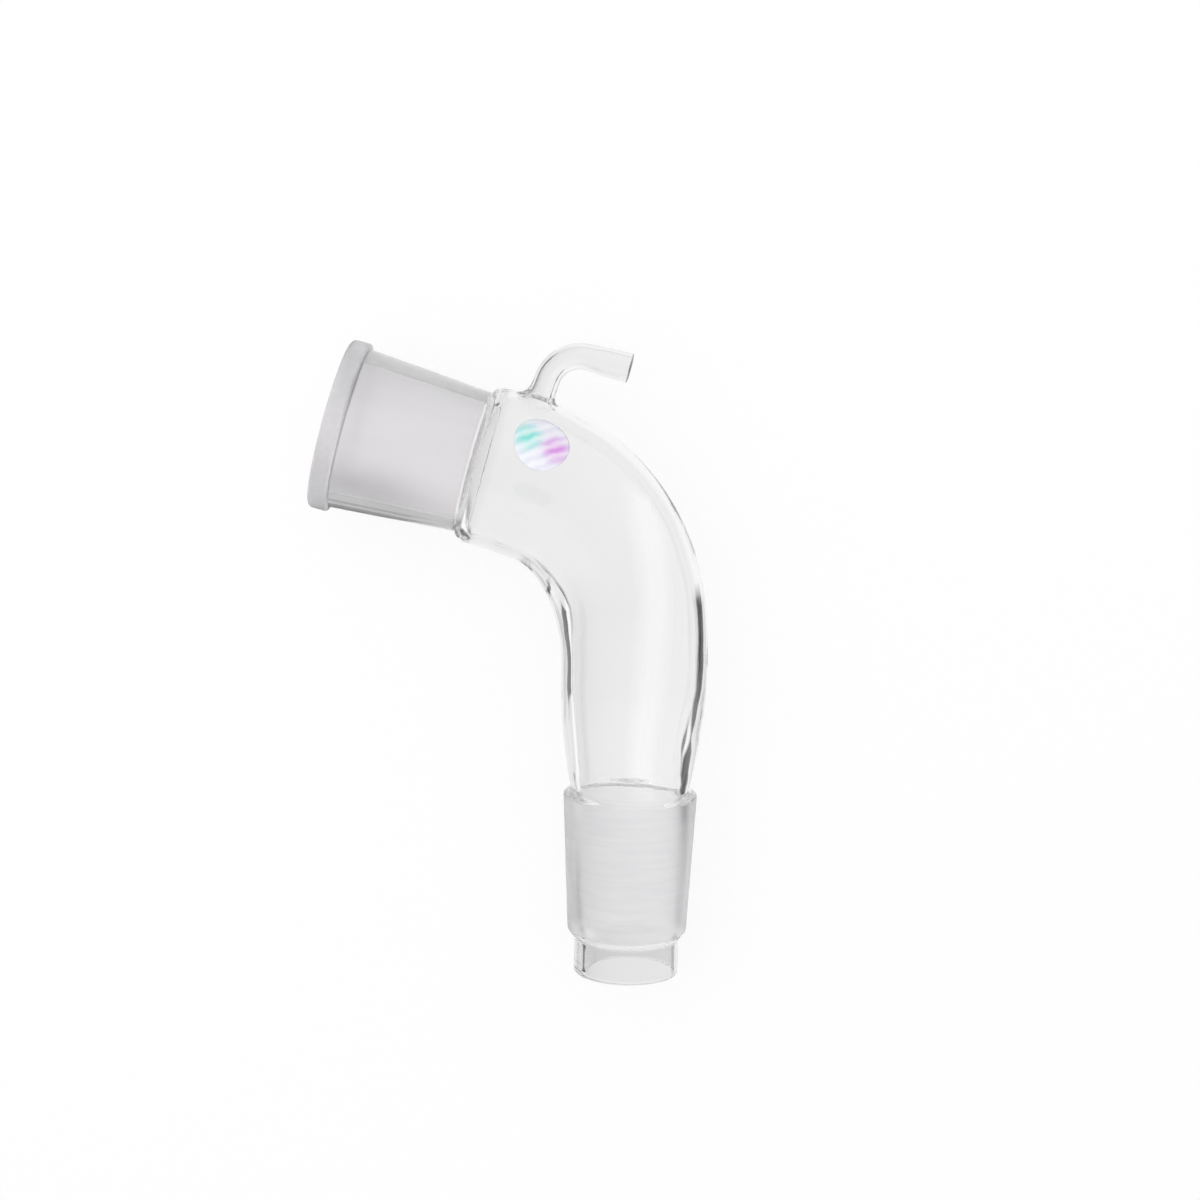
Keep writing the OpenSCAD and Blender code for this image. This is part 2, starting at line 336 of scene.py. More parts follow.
# %% Body rings
AROUND = 144
angles = np.arange(AROUND) * 2 * math.pi / AROUND
rings = np.concatenate([outer, inner])
bore_shift = np.where(np.arange(len(rings)) < len(outer), 0, averaged(BORE_KNOTS, rings[:, 0]))
ring_points = on_tube(rings[:, :1], rings[:, 1:], angles,
                      wander(rings[:, :1]) + bore_shift[:, None])
ring_count = len(rings)
print(ring_count, "rings of", AROUND, "points")

# %% [markdown]
# ## The foot of the side arm
#
# A blower opens a small hole in the bend, sets a thin tube on it and flames the joint, so the
# glass flows into a smooth flare outside and a small round edge inside. A Boolean would leave a
# sharp crease there. Instead, every point on the rectangle's edge gets an angle round the arm's
# axis, and a row of points leads from it to the flare, up the flare and on along the arm.

# %% The arm's own directions
ARM_AT = math.radians(73.5)     # place of its foot round the bend
ARM_LEAN = math.radians(1.5)    # how far it leans back towards the barrel
ARM_R = 2.8
ARM_WALL = 1.0
FOOT_R = 16.6                   # distance of its foot from the tube's centre line
ARM_S = BEND_S + BEND_R * ARM_AT
arm_foot = on_tube(np.array(ARM_S), FOOT_R, 0.0)
heading = ARM_AT - ARM_LEAN
arm_up = np.array([math.cos(heading), math.sin(heading), 0])
arm_back = np.array([-math.sin(heading), math.cos(heading), 0])
arm_side = np.array([0, 0, 1.0])


def beside_arm(angle, radius, rise):
    """Points beside the arm's straight foot: rise along its axis, and radius out from the axis
    at an angle that starts at the side away from the arm's bend."""
    angle, radius, rise = np.broadcast_arrays(angle, radius, rise)
    out = np.cos(angle)[..., None] * arm_back + np.sin(angle)[..., None] * arm_side
    return arm_foot + rise[..., None] * arm_up + radius[..., None] * out


HALVINGS = 40   # halving 14 mm this often leaves far less than a nanometre


def rise_to_body(angle, radius, depth):
    """How far along the arm's axis a line beside it meets a surface at a depth below the body's
    outside. The distance from that surface grows along the line, so halving the interval in
    which it changes sign finds the place."""
    low, high = np.full(len(angle), -8.0), np.full(len(angle), 6.0)
    for _ in range(HALVINGS):
        rise = (low + high) / 2
        s, out, up = place_on_tube(beside_arm(angle, radius, rise))
        outside = np.hypot(out - wander(s), up) > body_radius(s) - depth
        high, low = np.where(outside, rise, high), np.where(outside, low, rise)
    return (low + high) / 2


print("the arm's foot in mm:", np.round(laid(arm_foot), 1).tolist())

# %% The rectangle left open for the arm, in each wall
HALF_OPEN = 10      # columns on each side of the arm's plane
OPEN_ROWS = 15      # rings across the opening
OPEN_TOP_S = 127.4  # its end towards the socket


def opening_edge(wall_rings, first_ring):
    """Ring and column of each point on the opening's edge, once round: along its end towards the
    socket, down one side, along the far end and up the other side. The rings count from high s
    to low, whichever way the wall runs."""
    top = int(np.argmin(np.abs(wall_rings[:, 0] - OPEN_TOP_S)))
    down = 1 if wall_rings[top + 1, 0] < wall_rings[top, 0] else -1
    rows = first_ring + top + down * np.arange(OPEN_ROWS + 1)
    cols = np.arange(-HALF_OPEN, HALF_OPEN + 1)
    ring = np.concatenate([np.full(2 * HALF_OPEN, rows[0]), rows[:-1],
                           np.full(2 * HALF_OPEN, rows[-1]), rows[:0:-1]])
    col = np.concatenate([cols[:-1], np.full(OPEN_ROWS, HALF_OPEN),
                          cols[:0:-1], np.full(OPEN_ROWS, -HALF_OPEN)])
    return rows, ring, col


outer_rows, outer_ring, edge_col = opening_edge(outer, 0)
inner_rows, inner_ring, _ = opening_edge(inner, len(outer))
outer_edge = outer_ring * AROUND + edge_col % AROUND
inner_edge = inner_ring * AROUND + edge_col % AROUND
edge_points = ring_points.reshape(-1, 3)[outer_edge] - arm_foot
edge_angle = np.arctan2(edge_points @ arm_side, edge_points @ arm_back)
print(len(edge_angle), "points round the side arm")

# %% The flare from the wall to the arm
FLARE_STEPS = 8


def foot_rings(edge_ids, depth, foot_r, tube_r, height):
    """Rings from an opening's edge, at a depth below the outside, to the arm's tube. First come
    points on that wall, a third and two thirds of the way in s and angle to a circle of radius
    foot_r. From there a quadratic curve goes to the tube: its middle point is where the tube's
    side would meet the wall, and its end is the given height above that."""
    on_wall = beside_arm(edge_angle, foot_r, rise_to_body(edge_angle, foot_r, depth))
    s1, out1, up1 = place_on_tube(on_wall)
    angle1 = np.arctan2(up1, out1 - wander(s1))
    s0 = rings[edge_ids // AROUND, 0]
    angle0 = edge_col * 2 * math.pi / AROUND
    t = np.array([[1 / 3], [2 / 3]])
    s, angle = s0 + (s1 - s0) * t, angle0 + (angle1 - angle0) * t
    lead_in = on_tube(s, body_radius(s) - depth, angle, wander(s))
    rise = rise_to_body(edge_angle, tube_r, depth)
    corner = beside_arm(edge_angle, tube_r, rise)
    top = beside_arm(edge_angle, tube_r, rise + height)
    u = (np.arange(FLARE_STEPS + 1) / FLARE_STEPS)[:, None, None]
    flare = (1 - u) ** 2 * on_wall + 2 * u * (1 - u) * corner + u**2 * top
    return np.concatenate([lead_in, flare]), rise + height


# %% [markdown]
# The joint is larger on the side of the socket: there the flame drew the glass further and
# higher, and on the other side it left a few small knots. Apart from these the inner edge keeps
# the same distance from the outer one all the way round. Where a weld's wall swells, light is
# caught in it and the joint looks black, so an even wall is what makes it read as clear glass.

# %% The flamed joint
WELD_R = 4.1        # reach of the joint from the arm's axis
WELD_RISE = 2.2     # and its height
SOCKET_REACH = 1.5  # how much further it reaches on the socket's side
SOCKET_RISE = 2.0   # and how much higher
SWELL = 0.03        # share by which its reach swells and shrinks, five times round
KNOT_REACH = 0.4    # reach of the knots on the barrel's side
INNER_LESS = 0.3    # how much smaller the joint is on the inside
to_socket = ((1 + np.cos(edge_angle)) / 2) ** 2
knots = KNOT_REACH * ((1 - np.cos(edge_angle)) / 2) ** 3
weld_reach = WELD_R * (1 + SWELL * np.sin(5 * edge_angle)) + SOCKET_REACH * to_socket
weld_rise = WELD_RISE + SOCKET_RISE * to_socket
foot_outside, outside_rise = foot_rings(
    outer_edge, 0.0, weld_reach + knots * np.sin(9 * edge_angle), ARM_R, weld_rise)
foot_inside, inside_rise = foot_rings(
    inner_edge, WALL, weld_reach - INNER_LESS - knots * np.sin(7 * edge_angle + 1.0),
    ARM_R - ARM_WALL, weld_rise + WALL - INNER_LESS)
print("flare ends between", np.round([outside_rise.min(), outside_rise.max()], 2), "mm up")

# %% [markdown]
# ## The side arm and its hose end
#
# The arm is drawn tube: it rises, bends over and ends in a slightly wider, fire-polished end
# that a hose is pushed on. Its outline is again a profile, now along the arm's own centre line.

# %% The arm, out to its end and back through its bore
ARM_RISE = 5.0                  # straight foot
ARM_BEND_R = 7.5
ARM_TURN = math.radians(85)
HOSE_R = 3.2
HOSE_LEN = 9.2                  # straight end that takes the hose
HOSE_FLARE = 4.4                # length over which it widens
LIP_LEN = 0.6                   # last stretch, rounded into a lip
HOSE_S = ARM_RISE + ARM_BEND_R * ARM_TURN   # places along the arm's own centre line
ARM_END = HOSE_S + HOSE_LEN
RISE_STEPS = 4                  # rings up the straight foot
BEND_RINGS = 27                 # rings round the arm's bend


def arm_line(t):
    """The arm's centre at t along it, and the direction that points away from its bend's
    centre: a straight foot, an arc about a centre beside the foot, and a straight end."""
    turn = np.clip((t - ARM_RISE) / ARM_BEND_R, 0, ARM_TURN)[..., None]
    run = (t - ARM_RISE)[..., None] - turn * ARM_BEND_R
    away = np.cos(turn) * arm_back + np.sin(turn) * arm_up
    ahead = np.cos(turn) * arm_up - np.sin(turn) * arm_back
    centre = arm_foot + ARM_RISE * arm_up - ARM_BEND_R * arm_back
    return centre + ARM_BEND_R * away + run * ahead, away


def hose_widening(t):
    """How much wider the arm is at t: nothing up to its last straight run, then a smooth rise
    to the hose end's radius, by three u squared less two u cubed."""
    u = np.clip((t - HOSE_S) / HOSE_FLARE, 0, 1)
    return (HOSE_R - ARM_R) * u * u * (3 - 2 * u)


def arm_rings(t, radius):
    """Rings of the arm's tube at places t along it."""
    centre, away = arm_line(t)
    ring = (np.cos(edge_angle)[None, :, None] * away[:, None]
            + np.sin(edge_angle)[None, :, None] * arm_side)
    return centre[:, None] + radius[:, None, None] * ring


def rise_rings(rise, tube_r):
    """Rings that level out: from an uneven rise along the tube's side up to the arc's start."""
    t = (np.arange(1, RISE_STEPS) / RISE_STEPS)[:, None]
    return beside_arm(edge_angle, tube_r, rise + (ARM_RISE - rise) * t)


tube_t = np.concatenate([
    np.linspace(ARM_RISE, HOSE_S, BEND_RINGS),
    run_to([HOSE_S], [ARM_END - LIP_LEN], step=0.6)[:, 0]])
tube_out = arm_rings(tube_t, ARM_R + hose_widening(tube_t))
tube_in = arm_rings(tube_t[::-1], ARM_R - ARM_WALL + hose_widening(tube_t[::-1]))
lip = rounded([
    (ARM_END - LIP_LEN, HOSE_R, 0), (ARM_END, HOSE_R, 0.45), (ARM_END, HOSE_R - ARM_WALL, 0.4),
    (ARM_END - LIP_LEN, HOSE_R - ARM_WALL, 0)], step=0.3)[1:-1]
lip_rings = arm_rings(lip[:, 0], lip[:, 1])
arm_points = np.concatenate([
    foot_outside, rise_rings(outside_rise, ARM_R), tube_out, lip_rings, tube_in,
    rise_rings(inside_rise, ARM_R - ARM_WALL)[::-1], foot_inside[::-1]])
print(len(arm_points), "rings along the side arm")

# %% [markdown]
# ## Joining grid and arm into one mesh
#
# Squares between neighbouring rings and angles make the skin. The squares inside the two
# openings are left out, the arm's rings are stitched to the openings' edges, and the points
# that nothing uses any more are dropped. The skin is closed if every edge has two squares, and
# it faces outwards if its signed volume is positive.

# %% Faces of the body and the arm
def ring_faces(ids_a, ids_b):
    """Squares between two closed rows of point numbers of equal length."""
    return np.stack([ids_a, np.roll(ids_a, -1, -1), np.roll(ids_b, -1, -1), ids_b], -1)


body_ids = np.arange(ring_count * AROUND).reshape(ring_count, AROUND)
body_faces = ring_faces(np.roll(body_ids, -1, 0), body_ids)
column = (np.arange(AROUND) + HALF_OPEN) % AROUND
in_columns = column < 2 * HALF_OPEN
row = np.arange(ring_count)
in_rows = (((row >= outer_rows.min()) & (row < outer_rows.max()))
           | ((row >= inner_rows.min()) & (row < inner_rows.max())))
kept = ~(in_rows[:, None] & in_columns[None, :])
body_quads = body_faces[kept]
quad_ring = np.broadcast_to(row[:, None], kept.shape)[kept]
arm_ids = ring_count * AROUND + np.arange(arm_points.shape[0] * arm_points.shape[1])
arm_ids = arm_ids.reshape(arm_points.shape[:2])
arm_loops = np.concatenate([outer_edge[None], arm_ids, inner_edge[None]])
arm_quads = ring_faces(arm_loops[:-1], arm_loops[1:]).reshape(-1, 4)
quads = np.concatenate([body_quads, arm_quads])
points = np.concatenate([ring_points.reshape(-1, 3), arm_points.reshape(-1, 3)])
used, quads = np.unique(quads, return_inverse=True)
quads = quads.reshape(-1, 4)
glass_points = laid(points[used])


def signed_volume(xyz, faces):
    """Volume under a closed skin of squares, from the divergence theorem: a sixth of the sum of
    each triangle's triple product, positive where the skin faces outwards."""
    a, b, c, d = (xyz[faces[:, i]] for i in range(4))
    halves = np.einsum("ij,ij->i", a, np.cross(b, c)) + np.einsum("ij,ij->i", a, np.cross(c, d))
    return halves.sum() / 6


edges = np.sort(np.stack([quads, np.roll(quads, -1, 1)], -1).reshape(-1, 2), 1)
_, squares_at_edge = np.unique(edges @ [len(used), 1], return_counts=True)
print(len(glass_points), "points,", len(quads), "squares,",
      round(signed_volume(glass_points, quads)), "cubic mm; squares at an edge:",
      squares_at_edge.min(), "to", squares_at_edge.max())

# %% The mesh object
def mesh_object(name, xyz, faces, smooth=True):
    """A mesh object at the origin, from points in millimetres of the row frame and faces."""
    mesh = bpy.data.meshes.new(name)
    mesh.from_pydata(xyz * MM, [], faces)
    mesh.polygons.foreach_set("use_smooth", np.full(len(faces), smooth))
    mesh.update()
    piece = bpy.data.objects.new(name, mesh)
    bpy.context.scene.collection.objects.link(piece)
    return piece


def point_attribute(piece, name, vectors):
    """Stores a vector for each point of a piece's mesh, for its material to read."""
    attribute = piece.data.attributes.new(name, "FLOAT_VECTOR", "POINT")
    attribute.data.foreach_set("vector", np.asarray(vectors, np.float32).ravel())


LATHE_UNIT = 10.0   # millimetres along the tube for one unit of the "lathe" attribute
glass = mesh_object("blown_glass", glass_points, quads.tolist())
lathe = np.stack(np.broadcast_arrays(
    np.cos(angles), np.sin(angles), rings[:, :1] / LATHE_UNIT), -1).reshape(-1, 3)
arm_lathe = np.tile([1, 0, ARM_S / LATHE_UNIT], (arm_points[..., 0].size, 1))
point_attribute(glass, "lathe", np.concatenate([lathe, arm_lathe])[used])
print(glass.name, "has", len(glass.data.polygons), "faces")

# %% [markdown]
# ## Finishes
#
# The adapter is one glass with a few surfaces. The blown parts are flame-polished and clear. The
# cone's outside and the socket's bore are ground with carborundum grit, so that they hold grease
# and seal against the next joint, and they look milky. The bead round the mouth was pressed and
# left matt. Right under it runs a crease, and its dark line is painted shade, a dark tint of the
# glass. The drip tip is cut and only lightly polished, and its greyer tint is painted shadow,
# standing in for the table's shadow seen through it. The side arm ends in a cut rim, darkened
# with painted shade. Each surface gets a material of its own, and one index array gives every
# square its surface. The index is the surface's place in the list of finishes below.

# %% The zone of each square: 0 is blown glass, 1 to 5 lie on the body and 6 on the arm
GROUND_LOW_S = CONE_S + 0.9     # the ground skin stops short of the cone's rounded ends
GROUND_TOP_S = NECK_S - 0.7
ROOT_S = BEAD_S - 0.1           # middle of the crease under the bead, with its line of painted shade
ROOT_HALF = 0.25                # and half its width
TIP_LOW_S = 0.5                 # the drip tip's skin, inside and outside, greyed with painted shadow
TIP_TOP_S = CONE_S - 1.2
RIM_DEPTH = 0.40                # how deep the arm's cut end, with its painted shade, reaches
zone = np.zeros(len(quads), np.int32)
body_zone, arm_zone = zone[:len(body_quads)], zone[len(body_quads):]
is_outer = quad_ring < len(outer)
quad_s = ((rings[:, 0] + np.roll(rings[:, 0], -1)) / 2)[quad_ring]
surfaces = (
    is_outer & (quad_s > GROUND_LOW_S) & (quad_s < GROUND_TOP_S),   # ground cone
    ~is_outer & (quad_s > SEAM_S),                                  # ground socket
    is_outer & (quad_s > BEAD_S + 0.1),                             # bead
    is_outer & (np.abs(quad_s - ROOT_S) < ROOT_HALF),               # crease under the bead: painted shade
    (quad_s > TIP_LOW_S) & (quad_s < TIP_TOP_S))                    # drip tip: greyed with painted shadow
for number, on_surface in enumerate(surfaces, start=1):
    body_zone[on_surface] = number
first_lip = len(foot_outside) + RISE_STEPS + len(tube_out)
rim_loops = first_lip + np.flatnonzero(lip[:-1, 0] > ARM_END - RIM_DEPTH)
arm_loop = np.repeat(np.arange(len(arm_loops) - 1), len(edge_angle))
# the cut end's zone, darkened with painted shade
arm_zone[np.isin(arm_loop, rim_loops)] = 6
glass.data.polygons.foreach_set("material_index", zone)
print("faces per zone:", np.bincount(zone).tolist())

# %% Helpers for materials
def linear(hex_colour):
    """An sRGB colour such as "D8E0E4" as linear red, green, blue and an alpha of 1."""
    srgb = np.array([int(hex_colour[i:i + 2], 16) for i in (0, 2, 4)]) / 255
    low, high = srgb / 12.92, ((srgb + 0.055) / 1.055) ** 2.4
    return (*np.where(srgb <= 0.04045, low, high), 1.0)


def add_node(tree, kind, settings=None, links=None):
    """Adds a node, sets its properties or its sockets' values, and links its sockets."""
    node = tree.nodes.new(kind)
    for key, value in (settings or {}).items():
        if isinstance(key, int) or key in node.inputs:
            node.inputs[key].default_value = value
        else:
            setattr(node, key, value)
    for key, source in (links or {}).items():
        tree.links.new(source, node.inputs[key])
    return node


def new_material(name):
    """An empty node material, its tree and its output."""
    material = bpy.data.materials.new(name)
    material.use_nodes = True
    material.node_tree.nodes.clear()
    return material, material.node_tree, add_node(material.node_tree, "ShaderNodeOutputMaterial")


def lets_lamps_through(tree, output, shader, share):
    """Joins a glass shader to the output. For shadow rays a share of a Transparent shader takes
    its place, because lamps do not find their way through bending glass. Without it the adapter
    would lie in a black shadow."""
    path = add_node(tree, "ShaderNodeLightPath")
    weight = add_node(tree, "ShaderNodeMath", {"operation": "MULTIPLY", 1: share},
                      {0: path.outputs["Is Shadow Ray"]})
    clear = add_node(tree, "ShaderNodeBsdfTransparent", {"Color": linear("FBFCFC")})
    mix = add_node(tree, "ShaderNodeMixShader", None,
                   {0: weight.outputs[0], 1: shader, 2: clear.outputs[0]})
    tree.links.new(mix.outputs[0], output.inputs["Surface"])


print("a middle grey of 808080 is linear", round(float(linear("808080")[0]), 3))

# %% [markdown]
# Blown glass is smooth but never quite even: it was drawn, turned and bent while soft. Waves
# about 11 mm apart and a fraction of a millimetre deep give the eye that hand-made shimmer
# without blurring anything seen through it. The tint is almost nothing, as borosilicate glass
# has hardly any iron. It stands a little under white because every wall takes a bit of light.

# %% Clear blown glass
GLASS_IOR = 1.474
WAVE_MM = 11.0          # from one wave in the skin to the next
WAVE_DEPTH_MM = 0.6     # height of a wave, of which the bump takes a quarter
CLEAR_SHARE = 0.92      # share of a lamp's light that clear glass lets through


def blown_glass(name, colour, roughness):
    """Clear glass with soft waves in its skin."""
    material, tree, output = new_material(name)
    place = add_node(tree, "ShaderNodeTexCoord")
    waves = add_node(tree, "ShaderNodeTexNoise", {"Scale": 1 / (WAVE_MM * MM), "Detail": 1.0},
                     {"Vector": place.outputs["Object"]})
    bump = add_node(tree, "ShaderNodeBump", {"Strength": 0.25, "Distance": WAVE_DEPTH_MM * MM},
                    {"Height": waves.outputs[0]})
    surface = add_node(tree, "ShaderNodeBsdfPrincipled", {
        "Base Color": linear(colour), "Transmission Weight": 1.0, "IOR": GLASS_IOR,
        "Roughness": roughness}, {"Normal": bump.outputs[0]})
    lets_lamps_through(tree, output, surface.outputs[0], CLEAR_SHARE)
    return material


print("waves", WAVE_MM, "mm apart in glass of index", GLASS_IOR)

# %% [markdown]
# Ground glass is clear inside and rough on one side. The grit leaves pits too small to see,
# which scatter the light (the roughness and a little haze), and the turning spindle leaves rings
# round the joint, which show on the cone. The socket is looked at through its clear outer wall,
# so its rings drown and only soft bands along the tube stay, a little lilac in places. The real
# grinding lines are some hundredths of a millimetre apart, too fine to show, so they are drawn
# about 1 mm apart.

# %% Ground glass
HAZE_COLOUR = "EEEDEF"
GROUND_ROUGHNESS = 0.35
GROUND_SHARE = 0.7      # share of a lamp's light that ground glass lets through
NOISE_LOW, NOISE_HIGH = 0.35, 0.65  # most of the noise lies between these


def ground_glass(name, pale, deep, per_turn, along_mm, haze):
    """Rough glass whose tint varies between pale and deep in a noise laid round the tube:
    per_turn sets how often it changes round the tube and along_mm how far apart its rings lie.
    The haze is the share of light that is scattered evenly instead of bent."""
    material, tree, output = new_material(name)
    lathe_place = add_node(tree, "ShaderNodeAttribute", {"attribute_name": "lathe"})
    stretched = add_node(tree, "ShaderNodeMapping", {
        "Scale": (per_turn, per_turn, LATHE_UNIT / along_mm)},
        {"Vector": lathe_place.outputs["Vector"]})
    marks = add_node(tree, "ShaderNodeTexNoise", {"Scale": 1.0, "Detail": 2.0},
                     {"Vector": stretched.outputs[0]})
    contrast = add_node(tree, "ShaderNodeMapRange", {1: NOISE_LOW, 2: NOISE_HIGH},
                        {0: marks.outputs[0]})
    tint = add_node(tree, "ShaderNodeMix", {
        "data_type": "RGBA", 6: linear(pale), 7: linear(deep)}, {0: contrast.outputs[0]})
    glassy = add_node(tree, "ShaderNodeBsdfPrincipled", {
        "Transmission Weight": 1.0, "IOR": GLASS_IOR, "Roughness": GROUND_ROUGHNESS},
        {"Base Color": tint.outputs[2]})
    milky = add_node(tree, "ShaderNodeBsdfDiffuse", {"Color": linear(HAZE_COLOUR)})
    through = add_node(tree, "ShaderNodeBsdfTranslucent", {"Color": linear(HAZE_COLOUR)})
    both = add_node(tree, "ShaderNodeMixShader", {0: 0.5},
                    {1: milky.outputs[0], 2: through.outputs[0]})
    mix = add_node(tree, "ShaderNodeMixShader", {0: haze},
                   {1: glassy.outputs[0], 2: both.outputs[0]})
    lets_lamps_through(tree, output, mix.outputs[0], GROUND_SHARE)
    return material


print("ground glass has a roughness of", GROUND_ROUGHNESS)

# %% The glass's materials, in the order of its zones
glass_finishes = [
    # flame-polished: nothing scatters, so the eye sees only bent light and edges
    blown_glass("borosilicate_glass_flame_blown", "F9F9F9", 0.0),
    # rings about 1 mm apart: the eye reads a turned, ground cone
    ground_glass("borosilicate_glass_ground_cone", "FEFDFE", "F3F2F4", 1.2, 1.1, 0.1),
    # bands along the socket with a touch of lilac
    ground_glass("borosilicate_glass_ground_socket", "FCFBFC", "F6EEF3", 1.6, 60.0, 0.2),
    # fine even grain: a pressed, matt bead
    ground_glass("borosilicate_glass_pressed_bead", "FCFCFD", "F0F0F2", 14.0, 0.8, 0.2),
    # painted shade: a darker tint, chosen to draw the dark line that the crease under the bead
    # shows
    blown_glass("borosilicate_glass_bead_root_painted_shade", "A8A8AA", 0.2),
    # cut and lightly polished, so a little softer than the blown parts; its greyer tint is
    # painted shadow, for the table's shadow seen through the tip
    blown_glass("borosilicate_glass_drip_tip_painted_shadow", "EBEBEB", 0.06),
    # painted shade: a dark tint, also chosen, for the dark that a cut end shows when it is looked
    # into along the wall
    blown_glass("borosilicate_glass_arm_rim_painted_shade", "707072", 0.05)]
for finish in glass_finishes:
    glass.data.materials.append(finish)
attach(glass, "root")
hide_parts("adapter_glass")
print([finish.name for finish in glass_finishes])

# %% [markdown]
# ## The seal
#
# A die-cut disc of holographic film, 12 mm across and 0.1 mm thick, is glued on the bend, on the
# side that faces up. It follows the glass, so each of its points is a place s and an angle on
# the tube at a small height. The height keeps a hundredth of a millimetre of glue under it. A
# flat disc would cut into the curved glass.

# %% Seal
SEAL_AT = math.radians(69)      # place round the bend
SEAL_TURN = math.radians(38)    # from the top towards the outer side of the bend
SEAL_D = 12.0
SEAL_T = 0.10
SEAL_GAP = 0.01                 # glue
SEAL_RINGS, SEAL_AROUND = 16, 96
seal_s = BEND_S + BEND_R * SEAL_AT
seal_angle = math.pi / 2 - SEAL_TURN
seal_r = float(body_radius(np.array(seal_s)))
disc_r = np.linspace(0, 1, SEAL_RINGS + 1)[1:, None] * SEAL_D / 2
around = np.arange(SEAL_AROUND) * 2 * math.pi / SEAL_AROUND
stretch = (BEND_R + seal_r * math.cos(seal_angle)) / BEND_R
to_mouth, to_bench = disc_r * np.cos(around), disc_r * np.sin(around)
disc_s = seal_s + to_mouth / stretch
disc_angle = seal_angle + to_bench / seal_r


def seal_skin(height):
    """The disc's rings at a height over the glass, with their middle point first."""
    ring = on_tube(disc_s, body_radius(disc_s) + height, disc_angle, wander(disc_s))
    middle = on_tube(np.array(seal_s), seal_r + height, seal_angle, wander(np.array(seal_s)))
    return np.concatenate([middle[None], ring.reshape(-1, 3)])


top_skin, under_skin = seal_skin(SEAL_GAP + SEAL_T), seal_skin(SEAL_GAP)
skin_ids = 1 + np.arange(SEAL_RINGS * SEAL_AROUND).reshape(SEAL_RINGS, SEAL_AROUND)
strip = ring_faces(skin_ids[:-1], skin_ids[1:]).reshape(-1, 4)
fan = np.stack([np.zeros(SEAL_AROUND, int), skin_ids[0], np.roll(skin_ids[0], -1)], -1)
edge = ring_faces(skin_ids[-1], skin_ids[-1] + len(top_skin))
seal_faces = (strip.tolist() + fan[:, ::-1].tolist() + (strip[:, ::-1] + len(top_skin)).tolist()
              + (fan + len(top_skin)).tolist() + edge.tolist())
seal = mesh_object("foil_seal_disc", laid(np.concatenate([top_skin, under_skin])), seal_faces)
seal_place = np.stack([to_mouth, to_bench, np.zeros_like(to_mouth)], -1).reshape(-1, 3)
seal_place = np.concatenate([[[0, 0, 0]], seal_place])
point_attribute(seal, "seal_place", np.concatenate([seal_place, seal_place]))
print(len(seal_faces), "faces in the seal")

# %% [markdown]
# The film is aluminised polyester with a pressed grating, so its colour depends on how the
# grating lies to the lamp and the eye. Here that colour is painted sheen, fixed for this light:
# teal on the side of the mouth, magenta on the side of the cone, and pale lilac between them,
# crossed by bright slanting bands of painted glints. No lettering is drawn. The two colours are
# soft round fields in the seal's own millimetres, and the bands are a wave about 2.4 mm long,
# laid over them.

# %% The seal's finish
BAND_MM = 2.4
BAND_SLANT = math.radians(44)
GLINT_SHARE = 0.55               # how far a band's crest turns the colour to white, as a painted glint
WAVE_UNIT = 2 * math.pi / 20    # length of one band of the wave texture at a scale of 1
FIELD_CORE_MM, FIELD_MM = 0.6, 4.6  # where a colour's round field starts to fade and ends
film, tree, output = new_material("metallised_hologram_film_painted_sheen")
place = add_node(tree, "ShaderNodeAttribute", {"attribute_name": "seal_place"})
# painted sheen: the pale lilac and the teal and magenta fields stand in for the colours the
# grating throws back from this lamp
lilac = add_node(tree, "ShaderNodeRGB")
lilac.outputs[0].default_value = linear("E6E7F3")
colour = lilac.outputs[0]
for centre, field_colour in (((3.3, -0.3, 0), "86E2DA"), ((-3.2, -0.2, 0), "DD96E6")):
    far = add_node(tree, "ShaderNodeVectorMath", {"operation": "DISTANCE", 1: centre},
                   {0: place.outputs["Vector"]})
    near = add_node(tree, "ShaderNodeMapRange", {
        "interpolation_type": "SMOOTHSTEP", 1: FIELD_CORE_MM, 2: FIELD_MM, 3: 1.0, 4: 0.0},
        {0: far.outputs["Value"]})
    mixed = add_node(tree, "ShaderNodeMix", {"data_type": "RGBA", 7: linear(field_colour)},
                     {0: near.outputs[0], 6: colour})
    colour = mixed.outputs[2]
slant = add_node(tree, "ShaderNodeMapping", {"Rotation": (0, 0, BAND_SLANT)},
                 {"Vector": place.outputs["Vector"]})
# painted glints: bright slanting bands whose crests turn the colour towards white
bands = add_node(tree, "ShaderNodeTexWave", {
    "Scale": WAVE_UNIT / BAND_MM, "Distortion": 2.0, "Detail": 1.0, "Detail Scale": 3.0},
    {"Vector": slant.outputs[0]})
glint_share = add_node(tree, "ShaderNodeMath", {"operation": "MULTIPLY", 1: GLINT_SHARE},
                      {0: bands.outputs["Fac"]})
banded = add_node(tree, "ShaderNodeMix", {"data_type": "RGBA", 7: linear("FDFDFF")},
                  {0: glint_share.outputs[0], 6: colour})
foil = add_node(tree, "ShaderNodeBsdfPrincipled", {"Metallic": 0.4, "Roughness": 0.35},
                {"Base Color": banded.outputs[2]})
tree.links.new(foil.outputs[0], output.inputs["Surface"])
seal.data.materials.append(film)
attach(seal, "root")
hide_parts("foil_seal")
print("seal finish:", film.name)

# %% [markdown]
# ## The table
#
# The adapter lies on a plain white table. The camera sees it almost pure white, with a soft
# shadow where the glass takes the lamp's light. The glass itself looks past the table, down to
# what lies under it, as on a light table: that keeps the wall clear and lets the dark cards
# below draw its edges.

